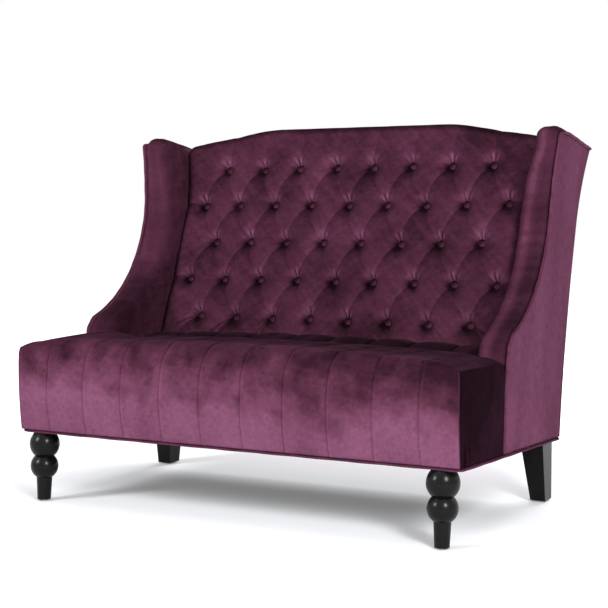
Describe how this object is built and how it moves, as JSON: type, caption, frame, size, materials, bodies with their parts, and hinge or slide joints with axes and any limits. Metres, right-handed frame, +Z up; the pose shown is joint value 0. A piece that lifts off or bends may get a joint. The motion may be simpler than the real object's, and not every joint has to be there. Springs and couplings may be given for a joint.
{
  "type": "settee",
  "caption": "High-back winged settee with a camel-top button-tufted back, pleated tight seat, piped wings, turned front legs and tapered rear legs.",
  "frame": {"origin": "on the floor, under the middle of the overall bounding box", "axes": "+X to the right of someone facing the front, +Y towards the back, +Z up; the front faces -Y"},
  "size_m": [1.2914, 0.8954, 1.0018],
  "materials": {
    "back_velvet": "button-tufted cotton velvet with a short nap",
    "seat_velvet": "pleated cotton velvet with a short nap",
    "wing_velvet": "plum velvet over padding",
    "panel_velvet": "flat plum velvet panel",
    "piping_velvet": "velvet piping",
    "button_velvet": "velvet-covered buttons",
    "foam": "upholstery foam",
    "batting": "cotton batting",
    "lining_cloth": "woven lining cloth",
    "webbing": "jute webbing",
    "tie_twine": "waxed twine",
    "dust_cloth": "black dust cloth",
    "beech": "planed hardwood",
    "plywood": "plywood",
    "ebonised_wood": "black satin lacquer",
    "spring_steel": "plain steel",
    "glide_nickel": "nickel-plated nail glides"
  },
  "bodies": {
    "root": {"front_seat_rail": "beech", "side_seat_rail_left": "beech", "side_seat_rail_right": "beech", "rear_spring_rail": "beech", "rear_base_rail": "beech", "centre_stretcher": "beech", "corner_blocks": "beech", "back_post_left": "beech", "back_post_right": "beech", "lower_back_rail": "beech", "top_back_rail": "beech", "outer_top_rail": "beech", "back_uprights": "beech", "wing_core_left": "plywood", "wing_core_right": "plywood", "seat_springs": "spring_steel", "spring_clips": "spring_steel", "leg_bolts": "spring_steel", "floor_glides": "glide_nickel", "seat_deck": "lining_cloth", "back_lining": "lining_cloth", "back_webbing_across": "webbing", "back_webbing_upright": "webbing", "front_padding": "batting", "wing_batting_left": "batting", "wing_batting_right": "batting", "back_top_padding": "batting", "seat_foam": "foam", "back_foam": "foam", "seat_cover": "seat_velvet", "back_cover": "back_velvet", "wing_pad_left": "wing_velvet", "wing_pad_right": "wing_velvet", "wing_outer_panel_left": "panel_velvet", "wing_outer_panel_right": "panel_velvet", "outside_back_panel": "panel_velvet", "wing_welt_left": "piping_velvet", "wing_welt_right": "piping_velvet", "bottom_welt": "piping_velvet", "back_buttons": "button_velvet", "seat_buttons": "button_velvet", "back_button_ties": "tie_twine", "seat_button_ties": "tie_twine", "dust_cover": "dust_cloth", "front_leg_left": "ebonised_wood", "front_leg_right": "ebonised_wood", "rear_leg_left": "ebonised_wood", "rear_leg_right": "ebonised_wood"}
  },
  "joints": []
}
